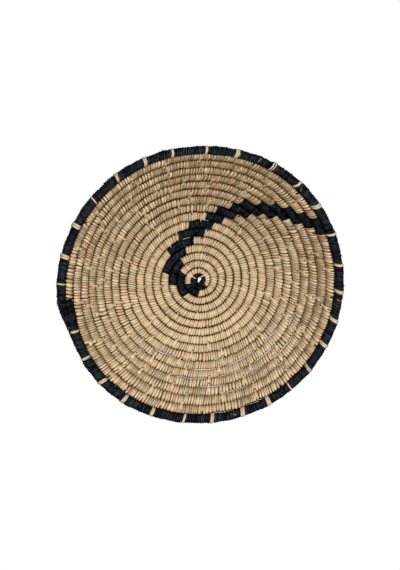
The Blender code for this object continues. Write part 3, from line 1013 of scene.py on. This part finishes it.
def fibre_finish(name, stops, middle, grit, shades, rough, gloss):
    """Dry fibre strips: a tone for each strip, streaks along it, and painted shade in clefts and seams.
    """
    material = bpy.data.materials.new(name)
    material.use_nodes = True
    tree = material.node_tree
    shader = tree.nodes["Principled BSDF"]
    make = Shade(tree)
    value = {key: make.node("ShaderNodeAttribute", {"attribute_name": key}, output=2) for key in VALUES}
    place = make.node("ShaderNodeUVMap", {"uv_map": "strip_map"})
    along = make.node("ShaderNodeSeparateXYZ", inputs={0: place})
    around = Shade(tree, along.socket.node.outputs[1])

    def grain(kind, taken_at):
        """Noise about 0 of one kind, taken at this depth, so that equal depths give equal grain."""
        across_strip, along_strip, detail = kind
        inputs = {0: along * across_strip, 1: around * along_strip, 2: taken_at}
        where = make.node("ShaderNodeCombineXYZ", inputs=inputs)
        inputs = {"Vector": where, "Scale": 1.0, "Detail": detail}
        return make.node("ShaderNodeTexNoise", inputs=inputs) - 0.5

    streak = grain(STREAK, value["warm"] * MOVED["streak"])
    strand = grain(STRAND, value["warm"] * MOVED["strand"])
    patch = grain(PATCH, PATCH_PLACE)
    fleck = make.math("MAXIMUM", grain(FLECK, FLECK_PLACE) - FLECK_LIMIT, 0.0)
    tint = grain(TINT, value["warm"] * MOVED["tint"])
    mottle = streak * GRAIN["streak"] + strand * GRAIN["strand"] + patch * GRAIN["patch"]
    mottle = mottle - fleck * GRAIN["fleck"]
    tone = middle + value["tone"] + mottle * grit
    faded = value["faded"] * (SHARE["faded"] + patch * SHARE["faded_patch"])
    colour = make.node("ShaderNodeValToRGB", {"stops": stops}, {0: tone})
    colour = make.mix((value["warm"] - 0.5) * SHARE["rusty"], colour, shades["rusty"])
    colour = make.mix(tint * SHARE["tint"], colour, GREENISH, "MULTIPLY")
    colour = make.mix(tint * -SHARE["tint"], colour, ROSY, "MULTIPLY")
    colour = make.mix(faded, colour, shades["faded"])
    # Painted shade: brown on the seams' flanks, dark in the clefts and darkest in the seams
    colour = make.mix(value["seam"] * SHARE["seam_flank_shade"], colour, shades["seam_flank_shade"])
    colour = make.mix(value["cleft"] * SHARE["cleft"], colour, shades["cleft"])
    colour = make.mix(value["seam"] * value["seam"] * SHARE["seam"], colour, shades["seam"])
    height = (streak - value["cleft"]) * RELIEF
    bump = make.node("ShaderNodeBump", inputs={"Height": height, **BUMP})
    roughness = (rough[0] + rough[1]) / 2.0 + streak * (rough[1] - rough[0])
    tree.links.new(colour.socket, shader.inputs["Base Color"])
    tree.links.new(roughness.socket, shader.inputs["Roughness"])
    tree.links.new(bump.socket, shader.inputs["Normal"])
    shader.inputs["Specular IOR Level"].default_value = gloss
    return material


def studio_world():
    """White to the camera and in reflections, and a plain even light on the plate."""
    world = bpy.data.worlds.new("studio")
    bpy.context.scene.world = world
    world.use_nodes = True
    tree = world.node_tree
    make = Shade(tree)
    rays = make.node("ShaderNodeLightPath").socket.node.outputs
    seen = make.math("MAXIMUM", Shade(tree, rays["Is Camera Ray"]), Shade(tree, rays["Is Glossy Ray"]))
    seen = make.math("MAXIMUM", seen, Shade(tree, rays["Is Transmission Ray"]))
    strength = WORLD_LIGHT + seen * (1.0 - WORLD_LIGHT)
    background = tree.nodes["Background"]
    background.inputs["Color"].default_value = WHITE
    tree.links.new(strength.socket, background.inputs["Strength"])


def pale_floor():
    """A plain floor well below the hanging plate, nearly white to the camera, with its shadow kept."""
    mesh = bpy.data.meshes.new("floor")
    ends = ((-1.0, -1.0), (1.0, -1.0), (1.0, 1.0), (-1.0, 1.0))
    corners = [(FLOOR_HALF * x, FLOOR_HALF * y, -FLOOR_DROP) for x, y in ends]
    mesh.from_pydata(corners, [], [(0, 1, 2, 3)])
    floor = bpy.data.objects.new("floor", mesh)
    bpy.context.scene.collection.objects.link(floor)
    material = bpy.data.materials.new("pale_floor")
    material.use_nodes = True
    tree = material.node_tree
    shader = tree.nodes["Principled BSDF"]
    shader.inputs["Base Color"].default_value = FLOOR_COLOUR
    make = Shade(tree)
    seen = Shade(tree, make.node("ShaderNodeLightPath").socket.node.outputs["Is Camera Ray"])
    glow = make.node("ShaderNodeEmission", inputs={"Color": WHITE, "Strength": 1.0})
    plain = Shade(tree, shader.outputs["BSDF"])
    mixed = make.node("ShaderNodeMixShader", inputs={0: seen * FLOOR_GLOW, 1: plain, 2: glow})
    tree.links.new(mixed.socket, tree.nodes["Material Output"].inputs["Surface"])
    mesh.materials.append(material)


def photo_camera():
    """Stands where the photographer stood, so that the middle hole falls on its pixel."""
    level = Vector((0.0, -math.cos(VIEW_RISE), math.sin(VIEW_RISE)))
    right = Vector((1.0, 0.0, 0.0)) * math.cos(VIEW_TURN) + level * math.sin(VIEW_TURN)
    back = level * math.cos(VIEW_TURN) - Vector((1.0, 0.0, 0.0)) * math.sin(VIEW_TURN)
    up = back.cross(right)
    middle = Vector((0.0, -BASE_HEIGHT / 2.0, 0.0))
    aside = right * (FRAME_WIDE / 2.0 - MIDDLE_PIXEL[0]) - up * (FRAME_TALL / 2.0 - MIDDLE_PIXEL[1])
    data = bpy.data.cameras.new("photo_camera")
    data.sensor_width = SENSOR_WIDTH
    data.lens = data.sensor_width * VIEW_PIXELS / FRAME_TALL
    camera = bpy.data.objects.new("photo_camera", data)
    bpy.context.scene.collection.objects.link(camera)
    camera.matrix_world = Matrix((right, up, back)).transposed().to_4x4()
    camera.location = middle + (back * VIEW_PIXELS + aside) * PIXEL
    bpy.context.scene.camera = camera


def area_light(name, place, size, power):
    """A soft square lamp that faces the plate."""
    data = bpy.data.lights.new(name, "AREA")
    data.shape = "SQUARE"
    data.size = size
    data.energy = power
    light = bpy.data.objects.new(name, data)
    bpy.context.scene.collection.objects.link(light)
    light.location = place
    light.rotation_euler = Vector(place).to_track_quat("Z", "Y").to_euler()


RUNS = list(wound_runs())
STITCH_TURNS = stitch_turns()

photo_camera()
studio_world()
pale_floor()
for lamp, (place, size, power) in LAMPS.items():
    area_light(lamp, place, size, power)
bpy.context.scene.view_settings.view_transform = "Standard"

natural, black, pale = (fibre_finish(name, *look) for name, look in FINISHES.items())
core_bundle(natural)
strips = Strips(STRIP_SEED)
for run, first_turn, last_turn in RUNS:
    finish, slot = (black, "black_fibre") if "black" in run else (natural, "natural_fibre")
    wrapped_run(run, first_turn, last_turn, strips, finish, slot)
rim_accents(pale)
joining_stitches("natural_joining_stitches", False, natural, "natural_fibre")
joining_stitches("black_joining_stitches", True, black, "black_fibre")
centre_ties("black_centre_ties", True, black, "black_fibre")
centre_ties("natural_centre_ties", False, natural, "natural_fibre")
end_lashing(black)
stray_strands(natural)
